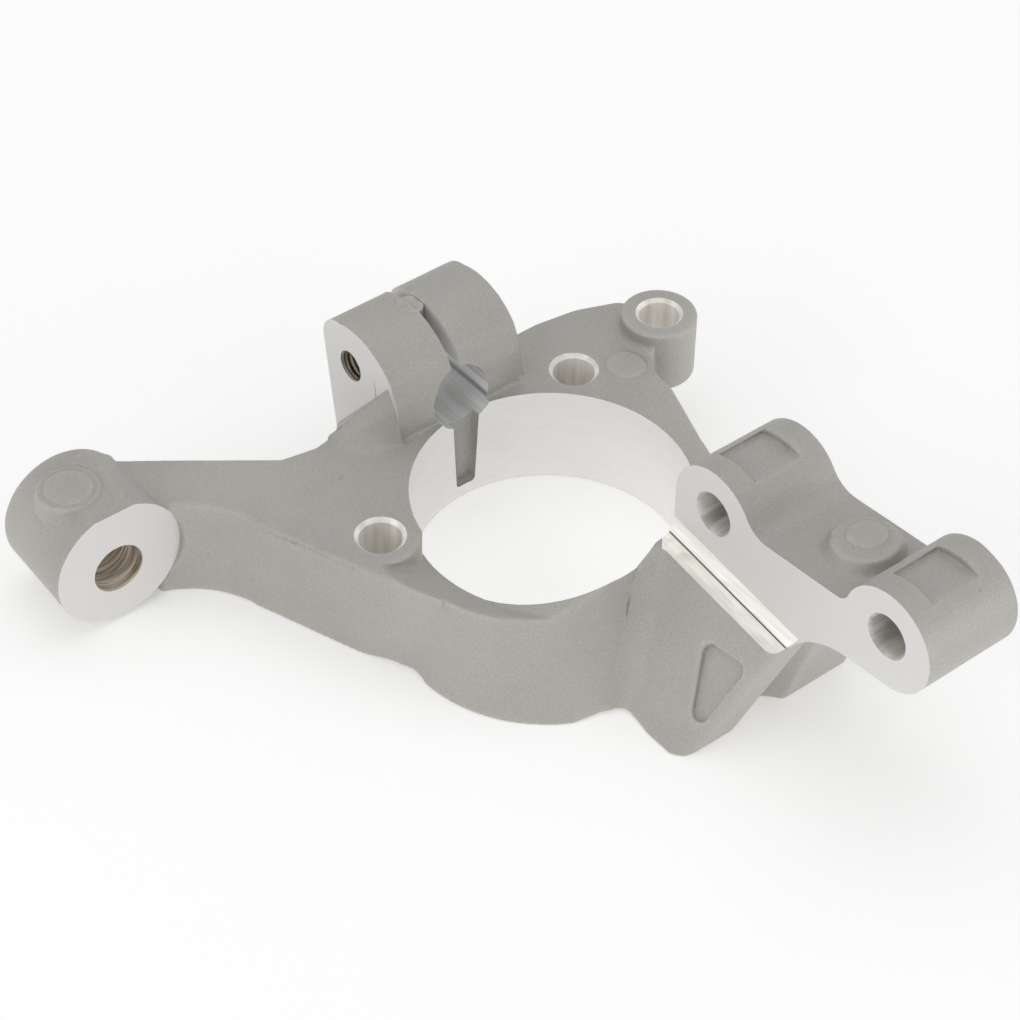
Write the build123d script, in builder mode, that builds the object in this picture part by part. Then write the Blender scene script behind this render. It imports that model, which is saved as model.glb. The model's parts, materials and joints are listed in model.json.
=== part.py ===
# Steering knuckle, one aluminium casting with machined faces and bores.
# The origin lies on the hub axis, in the plane of the hub face. +Z points inboard, +X points at the
# strut bracket, and +Y is the direction of the strut bolts and of the pinch bolt.
from build123d import *
import math
import os

# Hub opening, its ring and the three hub bolt holes
hub_bore_r = 45.5
hub_depth = 36.6
ring_r = 54.0
ring_gap = [(-5.0, 8.0), (18.0, -80.0), (80.0, -30.0), (60.0, 3.0)]
hub_bolt_pcd = 116.0
hub_bolt_hole_d = 14.0
hub_bolt_angle = 14.0
hub_bolt_count = 3
hub_lobe_r = 15.0
blind_depth = 28.0
hole_chamfer = 1.3

# Front lobe of the ring, leaning towards the opening
lobe_foot_corner = (61.8, -21.5)
lobe_foot_side = (56.5, -37.4)
lobe_foot_turn = (37.0, -57.0)
lobe_foot_front = (22.0, -62.2)
lobe_foot_heel = (5.9, -62.3)
lobe_brow_z = 45.4
lobe_brow_corner = (44.6, 6.0)
lobe_brow_turn = (28.8, -44.0)
lobe_brow_front = (19.0, -51.5)
lobe_brow_heel = (5.9, -53.5)

# Hollow blend between the front lobe and the neck, its brow in the plane of the ledge
blend_foot = [(61.0, -26.0), (62.6, -22.6), (66.5, -21.0)]
blend_foot_core = (58.0, -15.0)
blend_brow = [(-1.4, -1.0), (2.2, 2.9), (7.6, 4.6)]
blend_brow_core = (-0.8, 6.0)

# Scoop cut into the front lobe to clear the drive joint
scoop_z = 27.0
scoop_slope = 0.52
scoop_span = 40.0
scoop_start_x = -16.7
bank_front_y = -90.0
bank_y = -3.0
bank_z = 39.7
bank_slope = 0.33
bank_top_y = 4.7
bank_top_z = 46.0
front_pad_r = 13.0

# Steering arm
arm_root = (16.0, -56.0)
arm_hip = (3.0, -64.8)
arm_shoulder = (-8.0, -69.6)
arm_bend = (-46.0, -83.9)
arm_neck = (-59.9, -91.7)
arm_heel = (-68.7, -104.0)
arm_tip = (-90.0, -110.0)
arm_draft = 1.8
arm_round = 1.5
arm_back_heel = (-97.5, -104.3)
arm_back = (-63.8, -59.9)
arm_waist = (-61.6, -48.0)
arm_armpit = (-67.0, -19.0)

# Tie rod boss at the end of the arm, with a tapered bore
rod_face_x = -67.0
rod_y = -120.0
rod_z = 23.2
rod_boss_r = 22.4
rod_boss_length = 36.5
rod_draft = 2.0
rod_flat_z = 44.4
rod_back_run = 2.4
rod_back_draft = 40.0
rod_disc = (-85.3, -125.0)
rod_disc_r = 10.3
rod_disc_top_z = 44.9
rod_disc_foot_z = 38.0
rod_disc_draft = 10.0
rod_spot_gap = 0.15
rod_spot_depth = 20.0
shoulder_sections = [(-72.0, -112.5), (-98.0, -110.5)]
shoulder_run = 8.5
rod_bore_y = -120.5
rod_bore_z = 21.3
rod_bore_d = 17.7
rod_bore_small_d = 13.7

# Ball joint clamp
clamp_front_y = -25.0
clamp_width = 51.0
clamp_round = 1.5
clamp_hub_x = -46.5
clamp_foot = (-60.5, 2.0)
clamp_low = (-82.0, 14.0)
clamp_side = (-88.0, 54.0)
clamp_shoulder = (-86.2, 61.0)
clamp_top = (-79.0, 64.6)
clamp_crown = (-63.0, 64.7)
clamp_brow = (-51.6, 56.8)
clamp_chin = (-48.2, 49.0)
gusset_root = [(-53.0, 54.6), (-49.0, 48.0), (-45.0, 36.0), (-45.0, 20.0), (-81.8, 20.0)]
gusset_tip_y = -42.0
gusset_tip = [(-63.0, 36.6), (-58.0, 36.6), (-50.0, 36.0), (-50.0, 20.0), (-66.0, 20.0)]
stud_bore_d = 22.0
stud_bore_z = 42.0
slit_width = 4.0
slit_pad = (-72.0, -1.8)
slit_pad_r = 4.5
slit_pad_z = 57.5
slit_pad_h = 7.6
pinch_x = -73.3
pinch_z = 50.5
pinch_thread_d = 11.0
pinch_clear_d = 13.0
relief_top_z = 33.0
relief_low_z = 4.5
relief_top_w = 10.4
relief_low_w = 7.4
relief_y = 0.5
relief_depth = 3.0
relief_round = 1.5

# Two caliper ears
ears = [(-39.45, 77.76), (70.5, 55.6)]
ear_r = 12.9
ear_foot_round = 3.0
ear_low_z = 19.5
ear_rises = [6.4, 1.4]
ear_tops = [hub_depth + ear_rise for ear_rise in ear_rises]
ear_bore_d = 13.6
ear_chamfer = 1.2
plate_heel = (-48.0, 85.5)
plate_tip = (-58.5, 75.5)
plate_shoulder = (-64.0, 61.5)
plate_side = (-66.3, 45.0)
plate_root = (-66.0, 20.0)
plate_front_root = (17.6, 50.5)
plate_front = (-13.3, 61.5)
plate_bend = (-22.8, 62.6)
plate_hollow = (-31.2, 69.4)
plate_ear = (-33.2, 75.3)
arm_plate = [(40.0, 30.0), (30.0, 46.0), (62.0, 66.0), (83.0, 50.0), (70.0, 20.0)]

# Strut bracket, tilted about the bolt direction
strut_x = 61.4
strut_y = 11.5
strut_z = 64.9
strut_tilt = 6.0
strut_length = 36.0
strut_spacing = 74.0
strut_ear_r = 17.2
strut_ear_drop = 1.3
strut_bore_d = 13.4
strut_chamfer = 0.9
strut_round = 1.5
strut_round_z = 46.0
web_top = 2.0
web_arch_r = 29.2
web_arch_s = 58.0
web_arch_end = 155.0
web_heel = (-19.2, -22.5)
web_toe = (0.0, -36.5)
web_round_in = 10.0
web_round_out = 5.0
pocket_floor = 13.0
pocket_start_s = -7.0
pocket_width = 22.0
pocket_y = 20.0
pocket_length = 18.0
web_boss_s = 44.5
web_boss_y = 31.5
web_boss_r = 12.3
web_boss_h = 4.8
web_boss_draft = 22.0

# Neck between the ring and the strut bracket, with the milled ledge on top
neck_inner_x = 43.5
neck_side_x = 89.0
neck_front_y = -21.5
neck_back_y = 47.4
neck_corner_r = 6.5
ledge_x = 44.4
ledge_z = 45.4
ledge_fall = 7.7
ledge_front_y = 4.3
ledge_root_y = 10.0
ledge_end = 54.3
ledge_lip_end = 56.8
ledge_lip_h = 6.0
ledge_corner_r = 3.5

# Valley in the end wall of the neck and the pocket in its front wall
valley_foot = [(89.9, -3.0), (83.4, 16.7), (89.9, 22.0), (110.0, 22.0), (110.0, -3.0)]
valley_brow = [(98.5, 14.0), (95.5, 24.0), (98.5, 27.5), (110.0, 27.5), (110.0, 14.0)]
valley_brow_z = 34.0
pane_corners = [(75.5, 36.6), (93.0, 38.2), (87.5, 6.5)]
pane_round = 3.0
pane_depth = 1.8

tilt = math.radians(strut_tilt)
fall = math.radians(ledge_fall)
strut_plane = Plane(origin=(strut_x, strut_y, strut_z), x_dir=(math.cos(tilt), 0, math.sin(tilt)),
                    z_dir=(0, -1, 0))
ledge_plane = Plane(origin=(ledge_x, 0, ledge_z), x_dir=(math.cos(fall), 0, -math.sin(fall)),
                    z_dir=(math.sin(fall), 0, math.cos(fall)))
rod_face = Plane(origin=(rod_face_x, rod_y, rod_z), x_dir=(0, 1, 0), z_dir=(-1, 0, 0))
hub_bolts = [Vector(hub_bolt_pcd / 2, 0).rotate(Axis.Z, hub_bolt_angle + 360 / hub_bolt_count * k)
             for k in range(hub_bolt_count)]
cut_span = 200.0

# Front lobe, a ruled body between its foot and its brow
with BuildPart() as front_lobe:
    with BuildSketch() as lobe_foot:
        with BuildLine():
            ThreePointArc(lobe_foot_corner, lobe_foot_side, lobe_foot_turn)
            ThreePointArc(lobe_foot_turn, lobe_foot_front, lobe_foot_heel)
            Line(lobe_foot_heel, (0, 0))
            Line((0, 0), lobe_foot_corner)
        make_face()
    with BuildSketch(Plane.XY.offset(lobe_brow_z)) as lobe_brow:
        with BuildLine():
            Line(lobe_brow_corner, lobe_brow_turn)
            ThreePointArc(lobe_brow_turn, lobe_brow_front, lobe_brow_heel)
            Line(lobe_brow_heel, (0, 0))
            Line((0, 0), lobe_brow_corner)
        make_face()
    loft(ruled=True)

# Hollow blend between the front lobe and the neck
with BuildPart() as lobe_blend:
    with BuildSketch():
        with BuildLine():
            ThreePointArc(*blend_foot)
            Polyline(blend_foot[-1], blend_foot_core, blend_foot[0])
        make_face()
    with BuildSketch(ledge_plane):
        with BuildLine():
            ThreePointArc(*blend_brow)
            Polyline(blend_brow[-1], blend_brow_core, blend_brow[0])
        make_face()
    loft(ruled=True)

# Steering arm, as deep as the hub ring, drafted, with rounded upper edges
with BuildPart() as arm:
    with BuildSketch(Plane.XY.offset(hub_depth)) as arm_plan:
        with BuildLine():
            Polyline(arm_root, (0, 0), arm_armpit, arm_waist, arm_back, arm_back_heel)
            Polyline(arm_back_heel, arm_tip, arm_heel)
            ThreePointArc(arm_heel, arm_neck, arm_bend)
            Line(arm_bend, arm_shoulder)
            ThreePointArc(arm_shoulder, arm_hip, arm_root)
        make_face()
    extrude(amount=-hub_depth, taper=-arm_draft)
    upper_edges = arm.edges().group_by(Axis.Z)[-1].filter_by(
        lambda edge: (edge @ 0).Y < 0 and (edge @ 1).Y < 0)
    fillet(upper_edges, arm_round)

# Scoop, taken off above a cone round the opening and above a bank that climbs to the ledge
with BuildPart() as scoop:
    with BuildSketch(Plane.XZ) as scoop_section:
        Polygon((hub_bore_r, scoop_z), (hub_bore_r + scoop_span, scoop_z + scoop_span * scoop_slope),
                (hub_bore_r + scoop_span, cut_span), (hub_bore_r, cut_span), align=None)
    revolve(axis=Axis.Z)
    with BuildSketch(Plane.YZ.offset(scoop_start_x)) as bank_section:
        Polygon((bank_front_y, bank_z + bank_slope * (bank_front_y - bank_y)), (bank_y, bank_z),
                (bank_top_y, bank_top_z), (bank_top_y, cut_span), (bank_front_y, cut_span), align=None)
    extrude(amount=cut_span, mode=Mode.INTERSECT)
    with Locations((hub_bolts[2].X, hub_bolts[2].Y, 0)):
        Cylinder(front_pad_r, cut_span, mode=Mode.SUBTRACT)

# Tie rod boss, drafted and bevelled towards its back, flat on top, with a shoulder on the arm
with BuildPart() as rod_boss:
    with BuildSketch(rod_face):
        Circle(rod_boss_r)
    rod_body_length = rod_boss_length - rod_back_run
    extrude(amount=rod_body_length, taper=rod_draft)
    with BuildSketch(rod_face.offset(rod_body_length)):
        Circle(rod_boss_r - rod_body_length * math.tan(math.radians(rod_draft)))
    extrude(amount=rod_back_run, taper=rod_back_draft)
    split(bisect_by=Plane.XY.offset(rod_flat_z), keep=Keep.BOTTOM)
    with BuildSketch(Plane.XY.offset(rod_disc_top_z)):
        with Locations(rod_disc):
            Circle(rod_disc_r)
    extrude(amount=rod_disc_foot_z - rod_disc_top_z, taper=-rod_disc_draft)
with BuildPart() as rod_shoulder:
    for shoulder_x, shoulder_y in shoulder_sections:
        with BuildSketch(Plane.YZ.offset(shoulder_x)):
            Polygon((rod_y, rod_flat_z), (shoulder_y, rod_flat_z), (shoulder_y + shoulder_run, hub_depth),
                    (shoulder_y + shoulder_run, rod_z), (rod_y, rod_z), align=None)
    loft(ruled=True)

# Ball joint clamp, its hidden end rounded, and a gusset
with BuildPart() as clamp:
    with BuildSketch(Plane.XZ.offset(-clamp_front_y)) as clamp_profile:
        with BuildLine():
            Polyline(clamp_chin, (clamp_hub_x, hub_depth), (clamp_hub_x, 0), clamp_foot, clamp_low,
                     clamp_side)
            ThreePointArc(clamp_side, clamp_shoulder, clamp_top)
            ThreePointArc(clamp_top, clamp_crown, clamp_brow)
            Line(clamp_brow, clamp_chin)
        make_face()
    extrude(amount=-clamp_width)
    fillet(clamp.faces().sort_by(Axis.Y)[-1].edges().filter_by_position(Axis.Z, clamp_low[1], cut_span),
           clamp_round)
with BuildPart() as gusset:
    with BuildSketch(Plane.XZ.offset(-clamp_front_y)):
        Polygon(*gusset_root, align=None)
    with BuildSketch(Plane.XZ.offset(-gusset_tip_y)):
        Polygon(*gusset_tip, align=None)
    loft(ruled=True)

# Neck under the strut bracket, and the lip of its ledge
with BuildPart() as neck:
    with BuildSketch() as neck_foot:
        foot = Polygon((neck_inner_x, neck_front_y), (neck_side_x, neck_front_y),
                       (neck_side_x, neck_back_y), (neck_inner_x, neck_back_y), align=None)
        fillet(foot.vertices().group_by(Axis.Y)[0].sort_by(Axis.X)[-1], neck_corner_r)
    with BuildSketch(ledge_plane) as neck_brow:
        ledge_inner = (neck_inner_x - ledge_x) / math.cos(fall)
        brow = Polygon((ledge_inner, ledge_front_y), (ledge_end, ledge_front_y),
                       (ledge_end, strut_y + strut_length), (ledge_inner, strut_y + strut_length),
                       align=None)
        fillet(brow.vertices().group_by(Axis.Y)[0].sort_by(Axis.X)[-1], ledge_corner_r)
    loft(ruled=True)
    with BuildSketch(ledge_plane) as lip_foot:
        Polygon((ledge_inner, ledge_root_y), (ledge_end, ledge_root_y),
                (ledge_end, strut_y + strut_length), (ledge_inner, strut_y + strut_length), align=None)
    with BuildSketch(ledge_plane.offset(ledge_lip_h)) as lip_top:
        Polygon((ledge_inner, strut_y), (ledge_lip_end, strut_y),
                (ledge_lip_end, strut_y + strut_length), (ledge_inner, strut_y + strut_length), align=None)
    loft(ruled=True)
    with BuildSketch():
        Polygon(*valley_foot, align=None)
    with BuildSketch(Plane.XY.offset(valley_brow_z)):
        Polygon(*valley_brow, align=None)
    loft(ruled=True, mode=Mode.SUBTRACT)
    pane_top_z = ledge_z - (neck_side_x - ledge_x) * math.tan(fall)
    with BuildSketch(Plane(origin=(0, neck_front_y, 0), x_dir=(1, 0, 0),
                           z_dir=(0, -pane_top_z, ledge_front_y - neck_front_y))) as pane:
        Polygon(*pane_corners, align=None)
        fillet(pane.vertices(), pane_round)
    extrude(amount=pane_depth, both=True, mode=Mode.SUBTRACT)

# Strut bracket, two ears on a web
with BuildPart() as strut_bracket:
    web_low = -strut_ear_drop - strut_ear_r
    arch_end = (web_arch_s + web_arch_r * math.cos(math.radians(web_arch_end)),
                web_low - web_arch_r + web_arch_r * math.sin(math.radians(web_arch_end)))
    with BuildSketch(strut_plane) as strut_profile:
        with BuildLine():
            Polyline((web_arch_s, web_low), (strut_spacing, web_low), (strut_spacing, web_top),
                     (0, web_top), (-strut_ear_r, -strut_ear_drop), web_heel, web_toe, arch_end)
            CenterArc((web_arch_s, web_low - web_arch_r), web_arch_r, 90, web_arch_end - 90)
        make_face()
        with Locations((0, -strut_ear_drop), (strut_spacing, -strut_ear_drop)):
            Circle(strut_ear_r)
        for pick, web_round in ((0, web_round_in), (-1, web_round_out)):
            web_corners = strut_profile.vertices().filter_by(lambda v: abs(v.Y - web_top) < 0.01)
            fillet(web_corners.sort_by(Axis.X)[pick], web_round)
    extrude(amount=-strut_length)
    fillet(strut_bracket.faces().sort_by(Axis.Y)[-1].edges().filter_by_position(
        Axis.Z, strut_round_z, cut_span), strut_round)
    # Shallow pocket in the back of each ear, and a round boss on the web
    with BuildSketch(strut_plane.offset(strut_y - pocket_y)) as ear_pockets:
        with Locations((pocket_start_s, pocket_floor), (strut_spacing + pocket_start_s, pocket_floor)):
            Rectangle(pocket_width, strut_ear_r, align=Align.MIN)
    extrude(amount=-pocket_length, mode=Mode.SUBTRACT)
    boss_seat = Plane(origin=strut_plane.from_local_coords((web_boss_s, web_top, strut_y - web_boss_y)),
                      x_dir=strut_plane.x_dir, z_dir=strut_plane.y_dir)
    with BuildSketch(boss_seat) as web_boss:
        Circle(web_boss_r)
    extrude(amount=web_boss_h, taper=web_boss_draft)

# Round pad that bridges the slit of the clamp
with BuildPart() as slit_bridge:
    with Locations((*slit_pad, slit_pad_z)):
        Cylinder(slit_pad_r, slit_pad_h, align=(Align.CENTER, Align.CENTER, Align.MIN))

with BuildPart() as knuckle_casting:
    # Hub ring with a lobe around two of the bolt holes
    with BuildSketch() as ring_plan:
        Circle(ring_r)
        Polygon(*ring_gap, align=None, mode=Mode.SUBTRACT)
        with Locations(*hub_bolts[1:]):
            Circle(hub_lobe_r)
    extrude(amount=hub_depth)

    # Front lobe and arm, with the scoop taken off both
    for feature in (front_lobe, lobe_blend, arm):
        add(feature.part)
    add(scoop.part, mode=Mode.SUBTRACT)

    # Tie rod boss, its face spot faced into the arm
    with BuildSketch(rod_face):
        Circle(rod_boss_r + rod_spot_gap)
    extrude(amount=-rod_spot_depth, mode=Mode.SUBTRACT)
    add(rod_boss.part)
    add(rod_shoulder.part)

    # Ball joint clamp with a gusset on the arm
    add(clamp.part)
    add(gusset.part)

    # Plate that carries the rear caliper ear, and the two ears
    with BuildSketch(Plane.XY.offset(ear_low_z)) as ear_plate:
        with BuildLine():
            Polyline(plate_heel, plate_tip, plate_shoulder, plate_side, plate_root, (0, 0), plate_front_root,
                     plate_front, plate_bend)
            ThreePointArc(plate_bend, plate_hollow, plate_ear)
            Line(plate_ear, plate_heel)
        make_face()
        Polygon(*arm_plate, align=None)
    extrude(amount=hub_depth - ear_low_z)
    for ear, ear_top_z in zip(ears, ear_tops):
        with Locations((*ear, ear_low_z)):
            Cylinder(ear_r, ear_top_z - ear_low_z, align=(Align.CENTER, Align.CENTER, Align.MIN))
    ear_foot = knuckle_casting.edges().filter_by(GeomType.CIRCLE).filter_by(
        lambda edge: abs(edge.radius - ear_r) < 0.01 and abs(edge.arc_center.Z - hub_depth) < 0.01)
    fillet(ear_foot.sort_by(Axis.X)[0], ear_foot_round)

    # Neck and strut bracket
    add(neck.part)
    add(strut_bracket.part)

    # Hub opening and the hub bolt holes, the one under the strut bracket blind
    with Locations(Plane.XY.offset(hub_depth / 2)):
        Cylinder(hub_bore_r, cut_span, mode=Mode.SUBTRACT)
    with Locations(*[(bolt.X, bolt.Y, hub_depth) for bolt in hub_bolts[1:]]):
        CounterSinkHole(hub_bolt_hole_d / 2, hub_bolt_hole_d / 2 + hole_chamfer, hub_depth, 90)
    with Locations((hub_bolts[0].X, hub_bolts[0].Y, 0)):
        Cylinder(hub_bolt_hole_d / 2, blind_depth, align=(Align.CENTER, Align.CENTER, Align.MIN),
                 mode=Mode.SUBTRACT)

    # Stud bore, slit, pinch bolt hole and the relief below the stud bore
    with BuildSketch(Plane.YZ.offset(clamp_hub_x + slit_width)) as stud_hole:
        with Locations((0, stud_bore_z)):
            Circle(stud_bore_d / 2)
            Rectangle(slit_width, clamp_top[1], align=(Align.CENTER, Align.MIN))
    extrude(amount=clamp_side[0] - clamp_hub_x - 2 * slit_width, mode=Mode.SUBTRACT)
    add(slit_bridge.part)
    with BuildSketch(Plane.XZ.offset(-clamp_front_y)) as pinch_hole:
        with Locations((pinch_x, pinch_z)):
            Circle(pinch_thread_d / 2)
    extrude(amount=-clamp_width, mode=Mode.SUBTRACT)
    with BuildSketch(Plane.XZ) as pinch_clear:
        with Locations((pinch_x, pinch_z)):
            Circle(pinch_clear_d / 2)
    extrude(amount=-clamp_width, mode=Mode.SUBTRACT)
    with BuildSketch(Plane.YZ.offset(-hub_bore_r - relief_depth)) as relief:
        Polygon((relief_y - relief_low_w / 2, relief_low_z), (relief_y + relief_low_w / 2, relief_low_z),
                (relief_y + relief_top_w / 2, relief_top_z), (relief_y - relief_top_w / 2, relief_top_z),
                align=None)
        fillet(relief.vertices().group_by(Axis.Y)[0], relief_round)
    extrude(amount=hub_bore_r, mode=Mode.SUBTRACT)

    # Caliper bores, strut bores and the tapered tie rod bore
    for ear, ear_top_z in zip(ears, ear_tops):
        with Locations((*ear, ear_top_z)):
            CounterSinkHole(ear_bore_d / 2, ear_bore_d / 2 + ear_chamfer, ear_top_z - ear_low_z, 90)
    with Locations(strut_plane):
        with Locations((0, 0), (strut_spacing, 0)):
            CounterSinkHole(strut_bore_d / 2, strut_bore_d / 2 + strut_chamfer, strut_length, 90)
    with BuildSketch(Plane(origin=(rod_face_x, rod_bore_y, rod_bore_z), x_dir=(0, 1, 0), z_dir=(-1, 0, 0))):
        Circle(rod_bore_d / 2)
    with BuildSketch(Plane(origin=(rod_face_x - rod_boss_length, rod_bore_y, rod_bore_z), x_dir=(0, 1, 0),
                           z_dir=(-1, 0, 0))):
        Circle(rod_bore_small_d / 2)
    loft(mode=Mode.SUBTRACT)

knuckle_casting.part.label = "knuckle_casting"
os.makedirs("parts", exist_ok=True)
export_step(knuckle_casting.part, "parts/knuckle_casting.step")
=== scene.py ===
import json
import math

import bmesh
import bpy
import numpy as np
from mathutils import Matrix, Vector, kdtree, noise


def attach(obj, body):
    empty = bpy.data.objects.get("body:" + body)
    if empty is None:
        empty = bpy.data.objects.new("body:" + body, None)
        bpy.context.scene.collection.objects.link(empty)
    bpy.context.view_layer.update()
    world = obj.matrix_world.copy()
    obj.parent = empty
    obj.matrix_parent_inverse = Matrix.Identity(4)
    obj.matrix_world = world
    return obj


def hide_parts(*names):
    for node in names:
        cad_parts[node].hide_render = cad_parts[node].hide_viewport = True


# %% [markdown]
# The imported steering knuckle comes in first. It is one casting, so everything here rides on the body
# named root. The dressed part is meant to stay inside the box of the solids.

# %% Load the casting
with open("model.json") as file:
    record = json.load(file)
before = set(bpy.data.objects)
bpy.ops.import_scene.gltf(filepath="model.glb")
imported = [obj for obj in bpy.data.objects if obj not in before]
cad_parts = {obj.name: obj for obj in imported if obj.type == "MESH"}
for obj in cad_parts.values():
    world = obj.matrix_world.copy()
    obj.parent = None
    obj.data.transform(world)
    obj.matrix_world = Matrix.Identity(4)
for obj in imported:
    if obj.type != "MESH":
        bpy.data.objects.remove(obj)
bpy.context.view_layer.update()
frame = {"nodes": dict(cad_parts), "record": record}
casting_node = frame["nodes"]["knuckle_casting"]
MM = 0.001

# %% [markdown]
# The photograph looks down on the inboard side at about 44 degrees, with the steering arm at the left.
# The camera's place and turn were worked out from the round holes, so its long lens shows the part in
# the same perspective.

# %% Camera
camera_data = bpy.data.cameras.new("camera")
camera_data.sensor_width = 36.0
camera_data.lens = 101.55
camera = bpy.data.objects.new("camera", camera_data)
camera.location = (507.21 * MM, -427.85 * MM, 659.53 * MM)
camera.rotation_euler = [math.radians(angle) for angle in (46.346, -0.666, 51.635)]
bpy.context.scene.collection.objects.link(camera)
bpy.context.scene.camera = camera
print("camera at", [round(v, 3) for v in camera.location])

# %% [markdown]
# A foundry pours the knuckle, blasts it, and then mills and bores only the places where another part
# fits. A bored wall lies within its bore's radius of the bore's axis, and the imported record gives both,
# so the holes are read from there. The milled faces are flat, and each is found by its plane.

# %% Bores from the record, in millimetres
KIND_COUNT = 8
CAST, MILLED, HUB_WALL, HOLE_Z, HOLE_Y, STUD_WALL, TAPER_WALL, LEDGE = range(KIND_COUNT)
HUB_BOLT_ANGLE = math.radians(14.0)
TAPER_MOUTH_R = 8.9
LIP = 1.5
HALF_BORE = 45


def bore_row(mount, kind, radius=None):
    spot = np.array(mount["pos_m"]) / MM
    return spot, np.array(mount["axis"], float), radius or mount["dims"]["r_mm"], kind


mounts = {mount["name"]: mount for mount in frame["record"]["mounts"]}
bores = [bore_row(mounts["strut_bore_inner"], HOLE_Y), bore_row(mounts["strut_bore_outer"], HOLE_Y),
         bore_row(mounts["pinch_thread"], HOLE_Y), bore_row(mounts["pinch_clearance"], HOLE_Y),
         bore_row(mounts["caliper_bore_rear"], HOLE_Z), bore_row(mounts["caliper_bore_front"], HOLE_Z),
         bore_row(mounts["ball_stud"], STUD_WALL),
         bore_row(mounts["tie_rod_taper"], TAPER_WALL, TAPER_MOUTH_R)]
pattern = mounts["hub_bolts"]["dims"]
for turn in range(pattern["count"]):
    angle = HUB_BOLT_ANGLE + turn * 2 * math.pi / pattern["count"]
    reach = pattern["pcd_mm"] / 2
    spot = np.array((reach * math.cos(angle), reach * math.sin(angle), 0.0))
    bores.append((spot, np.array((0.0, 0.0, 1.0)), pattern["hole_r_mm"], HOLE_Z))
hub_r = mounts["hub_bore"]["dims"]["r_mm"]
print("bores found", len(bores), "and the hub opening of radius", hub_r)

# %% Planes of the milled faces, in millimetres
strut_y = mounts["strut_face"]["pos_m"][1] / MM
rod_face_x = mounts["tie_rod_face"]["pos_m"][0] / MM
ROD_FACE_END_Y = -97
CLAMP_FACE_Y = -25.0
CLAMP_SIDE_X = -44
SLIT_HALF = 2.0
SLIT_LOW_Z = 50
LEDGE_START = (44.4, 45.4)
LEDGE_FALL = math.radians(7.7)
LEDGE_FRONT_Y = 4.3
LEDGE_LIP = 6.1


def near(value, target, slack=0.06):
    return bool((np.abs(value - target) < slack).all())


def on_ledge(corners):
    x, y, z = corners.T
    above = (x - LEDGE_START[0]) * math.sin(LEDGE_FALL) + (z - LEDGE_START[1]) * math.cos(LEDGE_FALL)
    return (above > -0.1).all() and (above < LEDGE_LIP).all() and (x > LEDGE_START[0] - 2).all() \
        and (y > LEDGE_FRONT_Y - 0.8).all() and (y < strut_y + 0.1).all()


def machined_kind(corners, normal):
    """The kind of surface that one triangle of the casting belongs to."""
    x, y, z = corners.T
    if near(np.hypot(x, y), hub_r, 0.15) and abs(normal[2]) < 0.3:
        return HUB_WALL
    if near(y, strut_y) and normal[1] < -0.9 and x.mean() > LEDGE_START[0] - 3:
        return MILLED
    if near(x, rod_face_x) and normal[0] > 0.9 and y.mean() < ROD_FACE_END_Y:
        return MILLED
    if near(y, CLAMP_FACE_Y) and normal[1] < -0.9 and x.mean() < CLAMP_SIDE_X:
        return MILLED
    in_clamp = x.mean() < CLAMP_SIDE_X and z.mean() > SLIT_LOW_Z
    if near(np.abs(y), SLIT_HALF) and abs(normal[1]) > 0.9 and in_clamp:
        return MILLED
    if on_ledge(corners):
        return LEDGE
    for spot, axis, radius, kind in bores:
        offset = corners - spot
        along = offset @ axis
        away = np.linalg.norm(offset - np.outer(along, axis), axis=1)
        if (away < radius + LIP).all() and abs(normal @ axis) < 0.9 and np.abs(along).max() < HALF_BORE:
            return kind
    return CAST


source = casting_node.data
corner_table = np.empty(len(source.vertices) * 3)
source.vertices.foreach_get("co", corner_table)
corner_table = corner_table.reshape(-1, 3) / MM
kinds = [machined_kind(corner_table[list(polygon.vertices)], np.array(polygon.normal))
         for polygon in source.polygons]
print("triangles", len(kinds), "of each kind", [kinds.count(kind) for kind in range(KIND_COUNT)])

# %% [markdown]
# The mesh of the solids has long thin triangles on its flat faces, which can't be rounded. A copy is cut
# finer: long edges are halved again and again until none is much longer than two millimetres, or than
# one beside a corner. Round the pin marks, which are raised less than half a millimetre, it is cut finer
# still.

# %% How fine, in millimetres
COARSE = 2.2
BESIDE_CORNER = 1.25
FINE = 0.5
CORNER_REACH = 1.8
MARK_BAND = 1.3
MARK_REACH = 1.0
SHARP_ANGLE = 0.35
FLAT_ANGLE = 0.01
MOST_ROUNDS = 10
EVEN_ROUNDS = 6

# %% [markdown]
# Three of the raised rounds are marks of the mould's pins: on the tie rod boss, on the plate beside the
# caliper ear, and on the boss in the strut bracket. The one on the clamp is the pad that bridges its slit.
# Each has its centre, the way it faces, and its radius.

# %% Pin marks and the slit pad
boss_tilt = math.radians(6.0)
pin_marks = [(Vector((-85.3, -125.0, 44.9)), Vector((0, 0, 1)), 7.9),
             (Vector((-31.4, 56.7, 36.6)), Vector((0, 0, 1)), 6.6),
             (Vector((-72.0, -1.8, 64.9)), Vector((0, 0, 1)), 4.5),
             (Vector((103.95, 33.0, 76.2)), Vector((-math.sin(boss_tilt), 0, math.cos(boss_tilt))), 6.2)]


def mark_distance(point, mark):
    """How far a point lies outside the rim of a pin mark, or None where the mark can't reach it."""
    centre, up, radius = mark
    offset = point - centre
    rise = offset.dot(up)
    if abs(rise) > MARK_REACH:
        return None
    return (offset - rise * up).length - radius


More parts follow.
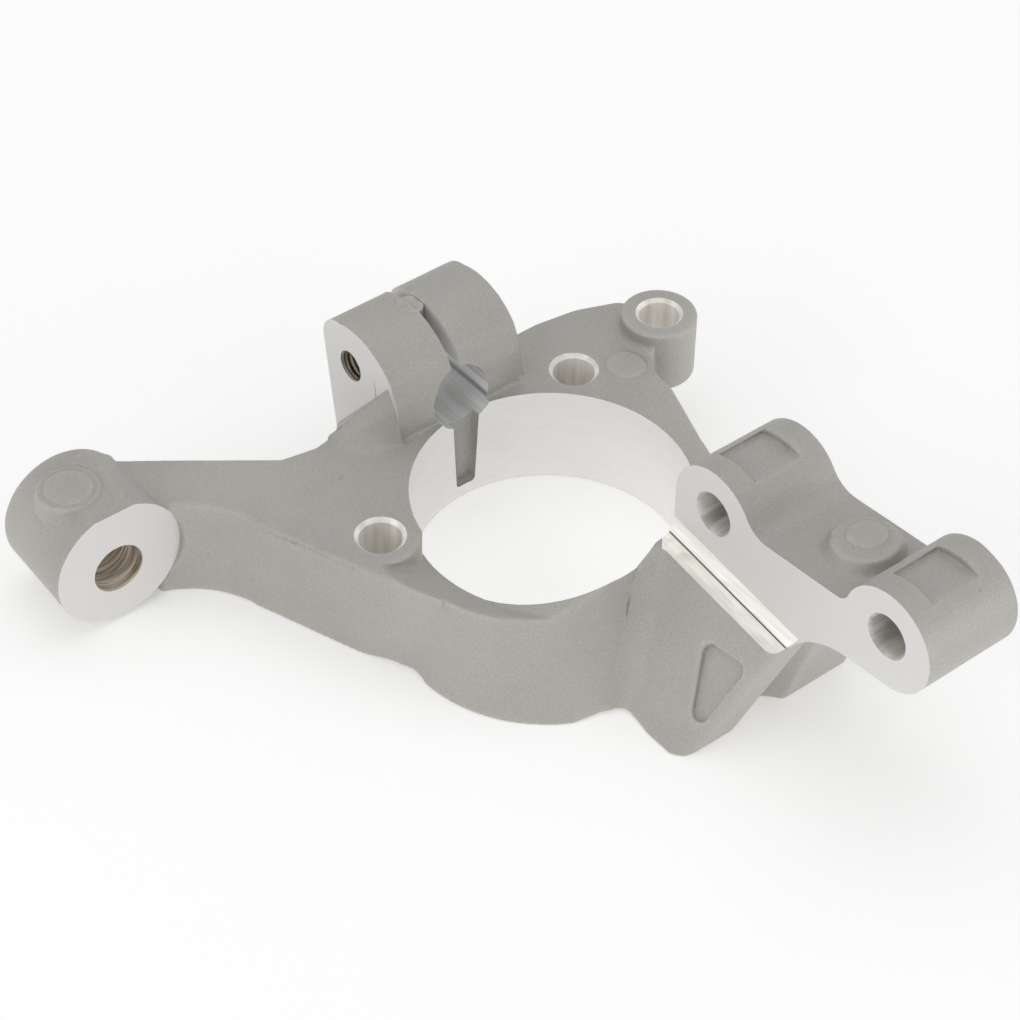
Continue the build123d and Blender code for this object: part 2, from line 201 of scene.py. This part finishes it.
# %% Copy the mesh and cut it fine
def corner_tree(work):
    """Points every millimetre along the sharp edges, for a quick search of the nearest one."""
    spots = []
    for edge in work.edges:
        if len(edge.link_faces) == 2 and edge.calc_face_angle(0.0) > SHARP_ANGLE:
            start, end = edge.verts[0].co / MM, edge.verts[1].co / MM
            pieces = max(1, round((end - start).length))
            spots.extend(start.lerp(end, step / pieces) for step in range(pieces + 1))
    tree = kdtree.KDTree(len(spots))
    for index, spot in enumerate(spots):
        tree.insert(spot, index)
    tree.balance()
    return tree


def too_long(edge, corners):
    length = edge.calc_length() / MM
    if length > COARSE or length < FINE:
        return length > COARSE
    middle = (edge.verts[0].co + edge.verts[1].co) / (2 * MM)
    if length > BESIDE_CORNER and corners.find(middle)[2] < CORNER_REACH:
        return True
    distances = [mark_distance(middle, mark) for mark in pin_marks]
    return any(distance is not None and abs(distance) < MARK_BAND for distance in distances)


def even_out(work):
    """Swap the diagonals on flat places, so that the triangles there are less thin."""
    flat_edges = [edge for edge in work.edges if len(edge.link_faces) == 2
                  and edge.calc_face_angle(3.14) < FLAT_ANGLE
                  and edge.link_faces[0].material_index == edge.link_faces[1].material_index]
    bmesh.ops.beautify_fill(work, faces=work.faces, edges=flat_edges)


def refined_copy(mesh, face_kinds):
    work = bmesh.new()
    work.from_mesh(mesh)
    for face, kind in zip(work.faces, face_kinds):
        face.material_index = kind
        face.smooth = True
    bmesh.ops.remove_doubles(work, verts=work.verts, dist=1e-6)
    bmesh.ops.triangulate(work, faces=work.faces)
    corners = corner_tree(work)
    for turn in range(MOST_ROUNDS):
        long_edges = [edge for edge in work.edges if too_long(edge, corners)]
        if not long_edges:
            break
        bmesh.ops.subdivide_edges(work, edges=long_edges, cuts=1)
        bmesh.ops.triangulate(work, faces=[face for face in work.faces if len(face.verts) > 3])
        if turn < EVEN_ROUNDS:
            even_out(work)
    fine = bpy.data.meshes.new("knuckle_skin")
    work.to_mesh(fine)
    work.free()
    return fine


skin_mesh = refined_copy(source, kinds)
casting = bpy.data.objects.new("knuckle_skin", skin_mesh)
bpy.context.scene.collection.objects.link(casting)
print("fine triangles", len(skin_mesh.polygons), "points", len(skin_mesh.vertices))

# %% [markdown]
# A casting has no sharp corner. Its outer edges are rounded by the mould and the blasting, and where a
# wall rises from a web there is a hollow fillet, which is larger than the outer radius. Smooth modifiers
# can do both, with a weight for each point. Points on machined faces don't move, so a milled face keeps
# its crisp edge. A point between an inner corner and an outer edge that lie close together is on a small
# form, such as a pad or a shallow pocket, and moves little. The front lobe runs softly into the neck and
# into the arm, so the points in the soft zones round those two seams are smoothed as hollows too. The
# relief below the ball joint's bore stays as the solids have it.

# %% Find the hollows and the outer edges
HOLLOW_ANGLE = 0.3
HOLLOW_REACH = 7.0
SHALLOW = 2.5
DEEP = 9.0
SMALL_FORM = 3.0
LEAST_WEIGHT = 0.12
LEAST_SOFT = 0.02
RELIEF = ((-52.0, -42.0), (-6.5, 7.5), (0.0, 34.0))
soft_zones = [((61.0, -24.0, 4.0), 13.0), ((58.0, -17.0, 22.0), 12.0), ((51.0, -6.0, 38.0), 9.0),
              ((4.0, -64.0, 6.0), 13.0), ((3.5, -62.0, 24.0), 12.0)]


def crease_points(mesh):
    work = bmesh.new()
    work.from_mesh(mesh)
    hollow, outer = set(), set()
    for edge in work.edges:
        if len(edge.link_faces) != 2:
            continue
        bend = edge.calc_face_angle_signed(0.0)
        if bend < -HOLLOW_ANGLE:
            hollow.update(vertex.index for vertex in edge.verts)
        elif bend > SHARP_ANGLE:
            outer.update(vertex.index for vertex in edge.verts)
    work.free()
    return sorted(hollow), sorted(outer)


def tree_of(places, indices):
    tree = kdtree.KDTree(len(indices))
    for index in indices:
        tree.insert(places[index], index)
    tree.balance()
    return tree


def table_of(mesh, field="co"):
    table = np.empty(len(mesh.vertices) * 3)
    mesh.vertices.foreach_get(field, table)
    return table.reshape(-1, 3)


sharp_places = table_of(skin_mesh) / MM
hollow_points, outer_points = crease_points(skin_mesh)
hollow_tree = tree_of(sharp_places, hollow_points)
outer_tree = tree_of(sharp_places, outer_points)
print("hollow points", len(hollow_points), "outer points", len(outer_points))


# %% Weigh each point
def share(value, low, high):
    """Where a value lies between two others, from 0 to 1."""
    return min(max((value - low) / (high - low), 0.0), 1.0)


machined_points = np.zeros(len(skin_mesh.vertices), bool)
for polygon in skin_mesh.polygons:
    if polygon.material_index > CAST:
        machined_points[list(polygon.vertices)] = True
in_relief = np.all([(sharp_places[:, axis] > low) & (sharp_places[:, axis] < high)
                    for axis, (low, high) in enumerate(RELIEF)], axis=0)
still_points = machined_points | in_relief
hollow_group = casting.vertex_groups.new(name="hollow")
cast_group = casting.vertex_groups.new(name="cast")
depth_at = {index: share(outer_tree.find(sharp_places[index])[2], SHALLOW, DEEP)
            for index in hollow_points}
for index in np.nonzero(~still_points)[0]:
    place = sharp_places[index]
    _, hollow_index, to_hollow = hollow_tree.find(place)
    to_outer = outer_tree.find(place)[2]
    weight = max(max(to_hollow, to_outer) / SMALL_FORM, LEAST_WEIGHT)
    cast_group.add([int(index)], min(weight, 1.0), "REPLACE")
    soft = depth_at[hollow_index] * share(to_hollow, HOLLOW_REACH, 0.0)
    for centre, radius in soft_zones:
        soft = max(soft, share(np.linalg.norm(place - centre), radius, radius / 2))
    if soft > LEAST_SOFT:
        hollow_group.add([int(index)], soft, "REPLACE")
print("points that stay", int(still_points.sum()), "of", len(still_points))


# %% [markdown]
# A face keeps its kind of surface only if the mesh has a material for it, so eight empty ones stand in
# while the modifiers work.

# %% Round the hollows, then the outer edges
HOLLOW_ROUNDS = 60
CAST_ROUNDS = 6


def with_modifiers(piece):
    """The mesh that the piece's modifiers make, with the modifiers taken off."""
    bpy.context.view_layer.update()
    made = bpy.data.meshes.new_from_object(piece.evaluated_get(bpy.context.evaluated_depsgraph_get()))
    piece.modifiers.clear()
    piece.data = made
    return made


materials_to_come = [bpy.data.materials.new("kind %d" % kind) for kind in range(KIND_COUNT)]
for material in materials_to_come:
    skin_mesh.materials.append(material)
for title, group, rounds in (("round the hollows", "hollow", HOLLOW_ROUNDS),
                             ("soften the edges", "cast", CAST_ROUNDS)):
    soften = casting.modifiers.new(title, "SMOOTH")
    soften.factor = 0.5
    soften.iterations = rounds
    soften.vertex_group = group
rounded_mesh = with_modifiers(casting)
rounded_places = table_of(rounded_mesh) / MM
print("largest move", round(float(np.abs(rounded_places - sharp_places).max()), 2), "mm")

# %% [markdown]
# Two small things give the skin life. The raised rounds get their height of less than half a millimetre
# with a soft rim, and no cast face is quite flat, so every cast point sinks by up to an eighth of a
# millimetre in slow waves. The waves only ever sink, so that they can't carry the part out of its box.

# %% Pin marks and slow waves
MARK_RISE = 0.45
MARK_SLOPE = 0.9
WAVE_DEPTH = 0.12
WAVE_LENGTH = 16.0
normals = table_of(rounded_mesh, "normal")
for index in np.nonzero(~still_points)[0]:
    point = Vector(rounded_places[index])
    sink = WAVE_DEPTH * (0.5 + 0.5 * noise.noise(point / WAVE_LENGTH))
    rounded_places[index] -= normals[index] * sink
    for mark in pin_marks:
        distance = mark_distance(point, mark)
        if distance is not None and distance < MARK_SLOPE:
            part = share(distance, MARK_SLOPE / 2, -MARK_SLOPE / 2)
            rounded_places[index] += np.array(mark[1]) * MARK_RISE * part * part * (3 - 2 * part)
rounded_mesh.vertices.foreach_set("co", (rounded_places * MM).ravel())
rounded_mesh.update()

# %% [markdown]
# The flat places now give up the triangles that they don't need, and triangles without an area go. Shading
# mustn't run over from a rounded cast edge onto a flat milled face, so every edge between two kinds of
# surface is marked as sharp.

# %% Thin out
MOST_TRIANGLES = 185000
LEAST_EDGE = 0.02
CRISP_ANGLE = 34.0
thin_out = casting.modifiers.new("thin out", "DECIMATE")
thin_out.ratio = min(1.0, MOST_TRIANGLES / len(rounded_mesh.polygons))
final_mesh = with_modifiers(casting)
final_mesh.name = "knuckle_skin_final"
work = bmesh.new()
work.from_mesh(final_mesh)
bmesh.ops.dissolve_degenerate(work, edges=work.edges, dist=LEAST_EDGE * MM)
bmesh.ops.triangulate(work, faces=[face for face in work.faces if len(face.verts) > 3])
work.to_mesh(final_mesh)
work.free()
final_mesh.validate()
final_mesh.set_sharp_from_angle(angle=math.radians(CRISP_ANGLE))
print("triangles", len(rounded_mesh.polygons), "thinned to", len(final_mesh.polygons))

# %% Keep a crisp edge where a machined face begins
kind_of_face = np.empty(len(final_mesh.polygons), int)
edge_of_corner = np.empty(len(final_mesh.loops), int)
final_mesh.polygons.foreach_get("material_index", kind_of_face)
final_mesh.loops.foreach_get("edge_index", edge_of_corner)
lowest = np.full(len(final_mesh.edges), KIND_COUNT)
highest = np.full(len(final_mesh.edges), CAST)
kind_of_corner = np.repeat(kind_of_face, 3)
np.minimum.at(lowest, edge_of_corner, kind_of_corner)
np.maximum.at(highest, edge_of_corner, kind_of_corner)
crisp = final_mesh.attributes["sharp_edge"]
is_crisp = np.empty(len(final_mesh.edges), bool)
crisp.data.foreach_get("value", is_crisp)
crisp.data.foreach_set("value", is_crisp | (lowest != highest))
print("edges between two kinds of surface", int((lowest != highest).sum()))

# %% [markdown]
# Outer edges get a painted highlight and hollows get painted shade. How much a place bulges is worked
# out here for each point, from where its neighbours lie, and kept as an attribute for the material.

# %% Painted edge highlight and hollow shade
PAINTED_LIGHT_SPREAD = 3
PAINTED_LIGHT_GAIN = 1.1
LEAST_REACH = 0.3
pairs = np.empty(len(final_mesh.edges) * 2, int)
final_mesh.edges.foreach_get("vertices", pairs)
pairs = pairs.reshape(-1, 2)


def neighbour_mean(values):
    total = np.zeros_like(values)
    count = np.zeros(len(values))
    for one, other in ((pairs[:, 0], pairs[:, 1]), (pairs[:, 1], pairs[:, 0])):
        np.add.at(total, one, values[other])
        np.add.at(count, one, 1)
    return (total.T / np.maximum(count, 1)).T


places = table_of(final_mesh) / MM
normals = table_of(final_mesh, "normal")
lengths = np.linalg.norm(places[pairs[:, 0]] - places[pairs[:, 1]], axis=1)
reach = np.zeros(len(places))
np.maximum.at(reach, pairs[:, 0], lengths)
np.maximum.at(reach, pairs[:, 1], lengths)
bulge = ((places - neighbour_mean(places)) * normals).sum(axis=1) * 2 / np.maximum(reach, LEAST_REACH) ** 2
# The bulge is smoothed and stored as the mask for the painted highlight and painted shade.
for _ in range(PAINTED_LIGHT_SPREAD):
    bulge = 0.5 * bulge + 0.5 * neighbour_mean(bulge)
edge_light_and_shade = final_mesh.attributes.new("edge_light_and_shade", "FLOAT", "POINT")
edge_light_and_shade.data.foreach_set("value", np.clip(0.5 + PAINTED_LIGHT_GAIN * bulge, 0.0, 1.0).astype(np.float32))
print("bulge from", round(float(bulge.min()), 2), "to", round(float(bulge.max()), 2), "per mm")

# %% [markdown]
# The pinch bolt screws into the near side of the clamp. Its thread is a helix that a bump map can't
# show at the mouth of the hole, so it is a sleeve of its own: a grid of points whose radius follows the
# thread's zigzag, closed by a plain outer wall that is buried in the casting.

# %% Pinch bolt thread
THREAD_PITCH = 1.75
THREAD_CREST_R = 4.9
THREAD_ROOT_R = 5.5
THREAD_OUTER_R = 5.8
THREAD_START_Y = -24.3
THREAD_END_Y = -2.2
AROUND = 48
STEPS_A_TURN = 8


def point_round(work, centre, radius, angle, y):
    """A new point at an angle round the bolt's axis, which runs along Y."""
    place = Vector((centre[0] + radius * math.cos(angle), y, centre[1] + radius * math.sin(angle)))
    return work.verts.new(place * MM)


def thread_sleeve(name, centre):
    work = bmesh.new()
    rings = int((THREAD_END_Y - THREAD_START_Y) / THREAD_PITCH * STEPS_A_TURN)
    columns = []
    for ring in range(rings + 1):
        y = THREAD_START_Y + (THREAD_END_Y - THREAD_START_Y) * ring / rings
        column = []
        for step in range(AROUND):
            turn = step / AROUND
            phase = ((y - THREAD_START_Y) / THREAD_PITCH + turn) % 1.0
            radius = THREAD_CREST_R + (THREAD_ROOT_R - THREAD_CREST_R) * abs(2 * phase - 1)
            if ring in (0, rings):
                radius = THREAD_ROOT_R
            column.append(point_round(work, centre, radius, 2 * math.pi * turn, y))
        columns.append(column)
    for y in (THREAD_END_Y, THREAD_START_Y):
        columns.append([point_round(work, centre, THREAD_OUTER_R, 2 * math.pi * step / AROUND, y)
                        for step in range(AROUND)])
    for first, second in zip(columns, columns[1:] + columns[:1]):
        for step in range(AROUND):
            after = (step + 1) % AROUND
            work.faces.new((first[step], first[after], second[after], second[step])).smooth = True
    bmesh.ops.recalc_face_normals(work, faces=work.faces)
    mesh = bpy.data.meshes.new(name)
    work.to_mesh(mesh)
    work.free()
    sleeve = bpy.data.objects.new(name, mesh)
    bpy.context.scene.collection.objects.link(sleeve)
    return sleeve


pinch_spot = mounts["pinch_thread"]["pos_m"]
thread = thread_sleeve("pinch_thread", (pinch_spot[0] / MM, pinch_spot[2] / MM))
print("thread faces", len(thread.data.polygons))

# %% [markdown]
# The cast skin and the machined faces share one grain: a fine speckle, a wider blotch and a height for
# the bump. A second group gives the streaks that a tool leaves, drawn out along one direction. Each
# material takes the groups at its own size, and mixes its own colours from them.

# %% Grain and streak groups
def new_group(name, inputs, outputs):
    group = bpy.data.node_groups.new(name, "ShaderNodeTree")
    for socket_name, kind, value in inputs:
        socket = group.interface.new_socket(name=socket_name, in_out="INPUT", socket_type=kind)
        socket.default_value = value
    for socket_name in outputs:
        group.interface.new_socket(name=socket_name, in_out="OUTPUT", socket_type="NodeSocketFloat")
    group.nodes.new("NodeGroupInput")
    group.nodes.new("NodeGroupOutput")
    return group, group.nodes["Group Input"], group.nodes["Group Output"]


def node(tree, kind, **settings):
    made = tree.nodes.new(kind)
    for key, value in settings.items():
        setattr(made, key, value)
    return made


grain_sizes = [("Grain Size", "NodeSocketFloat", 1600.0), ("Blotch Size", "NodeSocketFloat", 26.0)]
grain, g_in, g_out = new_group("blasted grain", grain_sizes, ["Height", "Speckle", "Blotch"])
place = node(grain, "ShaderNodeTexCoord")
for output, size, detail in (("Height", "Grain Size", 3.0), ("Speckle", "Grain Size", 1.0),
                             ("Blotch", "Blotch Size", 4.0)):
    cloud = node(grain, "ShaderNodeTexNoise")
    cloud.inputs["Detail"].default_value = detail
    grain.links.new(place.outputs["Object"], cloud.inputs["Vector"])
    grain.links.new(g_in.outputs[size], cloud.inputs["Scale"])
    grain.links.new(cloud.outputs["Fac"], g_out.inputs[output])

streak_sizes = [("Stretch", "NodeSocketVector", (100.0, 100.0, 4.0))]
streaks, s_in, s_out = new_group("tool streaks", streak_sizes, ["Streak"])
place = node(streaks, "ShaderNodeTexCoord")
stretch = node(streaks, "ShaderNodeVectorMath", operation="MULTIPLY")
cloud = node(streaks, "ShaderNodeTexNoise")
cloud.inputs["Scale"].default_value = 1.0
cloud.inputs["Detail"].default_value = 3.0
streaks.links.new(place.outputs["Object"], stretch.inputs[0])
streaks.links.new(s_in.outputs["Stretch"], stretch.inputs[1])
streaks.links.new(stretch.outputs["Vector"], cloud.inputs["Vector"])
streaks.links.new(cloud.outputs["Fac"], s_out.inputs["Streak"])
print("groups", [group.name for group in bpy.data.node_groups])


# %% Helpers for the materials
def principled(name, metallic, roughness):
    material = bpy.data.materials.new(name)
    material.use_nodes = True
    shader = material.node_tree.nodes["Principled BSDF"]
    shader.inputs["Metallic"].default_value = metallic
    shader.inputs["Roughness"].default_value = roughness
    return material, material.node_tree, shader


def placed(tree, group, **values):
    made = node(tree, "ShaderNodeGroup", node_tree=group)
    for key, value in values.items():
        made.inputs[key.replace("_", " ")].default_value = value
    return made


def ramp(tree, source_socket, *stops):
    made = node(tree, "ShaderNodeValToRGB")
    band = made.color_ramp
    while len(band.elements) < len(stops):
        band.elements.new(0.5)
    for element, (position, colour) in zip(band.elements, stops):
        element.position = position
        element.color = (*colour, 1.0)
    tree.links.new(source_socket, made.inputs["Fac"])
    return made.outputs["Color"]


def mixed(tree, blend, factor, under, over):
    made = node(tree, "ShaderNodeMix", data_type="RGBA", blend_type=blend)
    if isinstance(factor, float):
        made.inputs["Factor"].default_value = factor
    else:
        tree.links.new(factor, made.inputs["Factor"])
    tree.links.new(under, made.inputs["A"])
    tree.links.new(over, made.inputs["B"])
    return made.outputs["Result"]


def bumped(tree, shader, height, strength, distance):
    bump = node(tree, "ShaderNodeBump")
    bump.inputs["Strength"].default_value = strength
    bump.inputs["Distance"].default_value = distance
    tree.links.new(height, bump.inputs["Height"])
    tree.links.new(bump.outputs["Normal"], shader.inputs["Normal"])


def grey(level):
    return (level, level, level)


# %% [markdown]
# Blasted aluminium is a mid grey with a slight warm cast. Its pits are a few tenths of a millimetre
# wide, so they read as a fine speckle from a step away. Outer edges get a painted highlight, and hollows
# get painted shade that is a little darker and browner.

# %% Cast skin
cast_skin, tree, shader = principled("cast_aluminium", 0.3, 0.6)
texture = placed(tree, grain, Grain_Size=2400.0, Blotch_Size=22.0)
tone = ramp(tree, texture.outputs["Blotch"], (0.3, (0.388, 0.375, 0.352)), (0.7, (0.438, 0.425, 0.398)))
speckle = ramp(tree, texture.outputs["Speckle"], (0.38, grey(0.72)), (0.62, grey(1.0)))
tone = mixed(tree, "MULTIPLY", 0.5, tone, speckle)
# Painted highlight on outer edges and painted shade in hollows, driven by the bulge attribute.
painted_light_bulge = node(tree, "ShaderNodeAttribute", attribute_name="edge_light_and_shade")
painted_light_tone = ramp(tree, painted_light_bulge.outputs["Fac"], (0.1, (0.93, 0.92, 0.89)), (0.5, grey(1.0)),
                 (0.9, (1.16, 1.15, 1.10)))
tone = mixed(tree, "MULTIPLY", 1.0, tone, painted_light_tone)
tree.links.new(tone, shader.inputs["Base Color"])
bumped(tree, shader, texture.outputs["Height"], 0.6, 0.00014)
print("material", cast_skin.name)

# %% [markdown]
# A milled face is nearly white and silky. The hub wall was bored in one pass and shows only faint marks.
# The drilled and reamed holes are glossier, with painted reflections: pale and dark streaks along their
# walls.

# %% Milled face and hub wall
milled_face, tree, shader = principled("milled_face", 0.15, 0.45)
texture = placed(tree, grain, Grain_Size=700.0, Blotch_Size=14.0)
tone = ramp(tree, texture.outputs["Blotch"], (0.35, (0.62, 0.61, 0.595)), (0.65, (0.65, 0.642, 0.628)))
tree.links.new(tone, shader.inputs["Base Color"])

hub_wall, tree, shader = principled("hub_bore_wall", 0.15, 0.4)
texture = placed(tree, grain, Grain_Size=700.0, Blotch_Size=16.0)
lines = placed(tree, streaks, Stretch=(90.0, 90.0, 500.0))
tone = ramp(tree, texture.outputs["Blotch"], (0.35, (0.765, 0.752, 0.735)), (0.65, (0.80, 0.79, 0.775)))
line_tone = ramp(tree, lines.outputs["Streak"], (0.3, grey(0.93)), (0.7, grey(1.0)))
tone = mixed(tree, "MULTIPLY", 0.5, tone, line_tone)
tree.links.new(tone, shader.inputs["Base Color"])


# %% Drilled holes
def drilled(name, stretch, dark, pale, roughness=0.3, metallic=0.15):
    material, tree, shader = principled(name, metallic, roughness)
    lines = placed(tree, streaks, Stretch=stretch)
    tone = ramp(tree, lines.outputs["Streak"], (0.34, dark), (0.62, pale))
    tree.links.new(tone, shader.inputs["Base Color"])
    bumped(tree, shader, lines.outputs["Streak"], 0.3, 0.0001)
    return material


# On drilled and reamed walls the streaks between these dark and pale tones are painted reflections.
HOLE_REFLECTION_DARK = (0.72, 0.695, 0.65)
HOLE_REFLECTION_PALE = (0.96, 0.94, 0.90)
REAMED_REFLECTION_DARK = (0.40, 0.385, 0.36)
REAMED_REFLECTION_PALE = (0.60, 0.58, 0.545)
hole_down = drilled("drilled_hole", (260.0, 260.0, 30.0), HOLE_REFLECTION_DARK, HOLE_REFLECTION_PALE)
hole_across = drilled("reamed_hole", (260.0, 30.0, 260.0), REAMED_REFLECTION_DARK, REAMED_REFLECTION_PALE)
print("materials", milled_face.name, hub_wall.name, hole_down.name, hole_across.name)

# %% [markdown]
# The ball joint's bore has painted reflections beside its slit: dark and pale bands that run along X,
# so they are a ramp over the angle round the bore's axis, with fine streaks along X over them. The taper
# for the tie rod is stained brown, with rings from the reamer, and the pinch thread has the same dark
# stain.

# %% Ball joint bore
stud_wall, tree, shader = principled("ball_joint_bore", 0.35, 0.35)
place = node(tree, "ShaderNodeTexCoord")
split = node(tree, "ShaderNodeSeparateXYZ")
tree.links.new(place.outputs["Object"], split.inputs["Vector"])
height = node(tree, "ShaderNodeMath", operation="SUBTRACT")
height.inputs[1].default_value = mounts["ball_stud"]["pos_m"][2]
tree.links.new(split.outputs["Z"], height.inputs[0])
angle = node(tree, "ShaderNodeMath", operation="ARCTAN2")
tree.links.new(split.outputs["Y"], angle.inputs[0])
tree.links.new(height.outputs[0], angle.inputs[1])
turn_share = node(tree, "ShaderNodeMapRange")
turn_share.inputs["From Min"].default_value = -math.pi
turn_share.inputs["From Max"].default_value = math.pi
tree.links.new(angle.outputs[0], turn_share.inputs["Value"])
# Painted reflection: two dark bands and pale bands on a ramp over the angle round the bore.
painted_reflection_bands = ramp(tree, turn_share.outputs["Result"], (0.0, grey(0.95)), (0.60, grey(0.95)),
              (0.68, grey(0.35)), (0.70, grey(0.97)), (0.79, grey(0.97)), (0.81, grey(0.35)),
              (0.83, grey(0.97)), (0.9, grey(0.85)))
lines = placed(tree, streaks, Stretch=(8.0, 420.0, 420.0))
line_tone = ramp(tree, lines.outputs["Streak"], (0.35, grey(0.6)), (0.65, grey(1.0)))
tone = mixed(tree, "MULTIPLY", 0.8, painted_reflection_bands, line_tone)
tree.links.new(tone, shader.inputs["Base Color"])
print("material", stud_wall.name)

# %% Tie rod taper and thread
taper_wall = drilled("tie_rod_taper", (900.0, 60.0, 60.0), (0.22, 0.16, 0.11), (0.95, 0.89, 0.80),
                     roughness=0.3, metallic=0.3)
thread_stain = drilled("stained_thread", (120.0, 300.0, 120.0), (0.10, 0.075, 0.05), (0.40, 0.36, 0.30),
                       roughness=0.35, metallic=0.7)
print("materials", taper_wall.name, thread_stain.name)

# %% [markdown]
# The ledge in front of the strut bracket was cut last, with a small cutter, and is the brightest place.
# It has two strips with a thin line of painted shade for the groove where they meet, and fine mill marks
# along them.

# %% Milled ledge
LEDGE_ROOT_Y = 10.0
LINE_HALF = 0.13
GROOVE_SHADE_TONE = (0.12, 0.10, 0.07)
ledge_strip, tree, shader = principled("milled_ledge", 0.2, 0.35)
lines = placed(tree, streaks, Stretch=(18.0, 900.0, 900.0))
wide = placed(tree, grain, Grain_Size=900.0, Blotch_Size=45.0)
tone = ramp(tree, wide.outputs["Blotch"], (0.35, (0.91, 0.885, 0.82)), (0.65, (0.97, 0.955, 0.91)))
line_tone = ramp(tree, lines.outputs["Streak"], (0.35, grey(0.84)), (0.6, grey(1.0)))
tone = mixed(tree, "MULTIPLY", 0.7, tone, line_tone)
# Painted shade: a thin dark line at LEDGE_ROOT_Y stands in for the groove between the strips.
place = node(tree, "ShaderNodeTexCoord")
split = node(tree, "ShaderNodeSeparateXYZ")
from_root = node(tree, "ShaderNodeMath", operation="COMPARE")
from_root.inputs[1].default_value = LEDGE_ROOT_Y * MM
from_root.inputs[2].default_value = LINE_HALF * MM
tree.links.new(place.outputs["Object"], split.inputs["Vector"])
tree.links.new(split.outputs["Y"], from_root.inputs[0])
painted_groove_shade = ramp(tree, from_root.outputs[0], (0.0, GROOVE_SHADE_TONE), (1.0, GROOVE_SHADE_TONE))
tone = mixed(tree, "MIX", from_root.outputs[0], tone, painted_groove_shade)
tree.links.new(tone, shader.inputs["Base Color"])
print("material", ledge_strip.name)

# %% Put the materials on
for kind, material in enumerate((cast_skin, milled_face, hub_wall, hole_down, hole_across, stud_wall,
                                 taper_wall, ledge_strip)):
    final_mesh.materials[kind] = material
for material in materials_to_come:
    bpy.data.materials.remove(material)
thread.data.materials.append(thread_stain)
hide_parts("knuckle_casting")
for piece in (casting, thread):
    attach(piece, "root")
print("materials on the skin", [material.name for material in final_mesh.materials])

# %% [markdown]
# The studio is a white table with broad soft lights. The walls of the casting that face the camera are
# lighter than its flat tops, because the table sends light up at them, so the table glows for the part.
# The camera and mirror-like rays see a weaker glow, which leaves the table pale with the part's shadow
# on it, and a sky that is plain white.

# %% Table and sky
def plain_white_rays(tree):
    """1 for a ray from the camera, off gloss or through glass, and 0 for a diffuse one."""
    ray = node(tree, "ShaderNodeLightPath")
    glossy = node(tree, "ShaderNodeMath", operation="ADD")
    clear = node(tree, "ShaderNodeMath", operation="ADD", use_clamp=True)
    tree.links.new(ray.outputs["Is Camera Ray"], glossy.inputs[0])
    tree.links.new(ray.outputs["Is Glossy Ray"], glossy.inputs[1])
    tree.links.new(glossy.outputs[0], clear.inputs[0])
    tree.links.new(ray.outputs["Is Transmission Ray"], clear.inputs[1])
    return clear.outputs[0]


TABLE_SPAN = 3.0
TABLE_GLOW = 0.65
TABLE_GLOW_SEEN = 0.24
SKY_LEVEL = 0.57
floor_mesh = bpy.data.meshes.new("floor")
floor_mesh.from_pydata([(-TABLE_SPAN, -TABLE_SPAN, 0), (TABLE_SPAN, -TABLE_SPAN, 0),
                        (TABLE_SPAN, TABLE_SPAN, 0), (-TABLE_SPAN, TABLE_SPAN, 0)], [], [(0, 1, 2, 3)])
floor = bpy.data.objects.new("floor", floor_mesh)
floor.location.z = -0.2 * MM
bpy.context.scene.collection.objects.link(floor)
table_top, tree, shader = principled("white_table", 0.0, 0.9)
shader.inputs["Base Color"].default_value = (0.9, 0.9, 0.9, 1.0)
shader.inputs["Emission Color"].default_value = (1.0, 1.0, 1.0, 1.0)
glow = node(tree, "ShaderNodeMapRange")
glow.inputs["To Min"].default_value = TABLE_GLOW
glow.inputs["To Max"].default_value = TABLE_GLOW_SEEN
tree.links.new(plain_white_rays(tree), glow.inputs["Value"])
tree.links.new(glow.outputs["Result"], shader.inputs["Emission Strength"])
floor_mesh.materials.append(table_top)

world = bpy.data.worlds.new("studio")
bpy.context.scene.world = world
world.use_nodes = True
background = world.node_tree.nodes["Background"]
level = node(world.node_tree, "ShaderNodeMapRange")
level.inputs["To Min"].default_value = SKY_LEVEL
level.inputs["To Max"].default_value = 1.0
world.node_tree.links.new(plain_white_rays(world.node_tree), level.inputs["Value"])
world.node_tree.links.new(level.outputs["Result"], background.inputs["Strength"])
background.inputs["Color"].default_value = (1.0, 1.0, 1.0, 1.0)
print("table and sky set")


# %% Lights
def soft_light(name, place, size, power):
    data = bpy.data.lights.new(name, "AREA")
    data.shape = "RECTANGLE"
    data.size, data.size_y = size
    data.energy = power
    lamp = bpy.data.objects.new(name, data)
    lamp.location = place
    aim = Vector((0.02, -0.02, 0.03)) - Vector(place)
    lamp.rotation_euler = aim.to_track_quat("-Z", "Y").to_euler()
    bpy.context.scene.collection.objects.link(lamp)


soft_light("front light", (-0.1, -1.25, 0.6), (1.2, 0.5), 3.0)
soft_light("right light", (1.3, 0.6, 0.25), (1.2, 0.4), 4.5)
soft_light("top light", (-0.2, 0.2, 1.5), (1.6, 1.6), 5.0)
bpy.context.scene.view_settings.view_transform = "Standard"
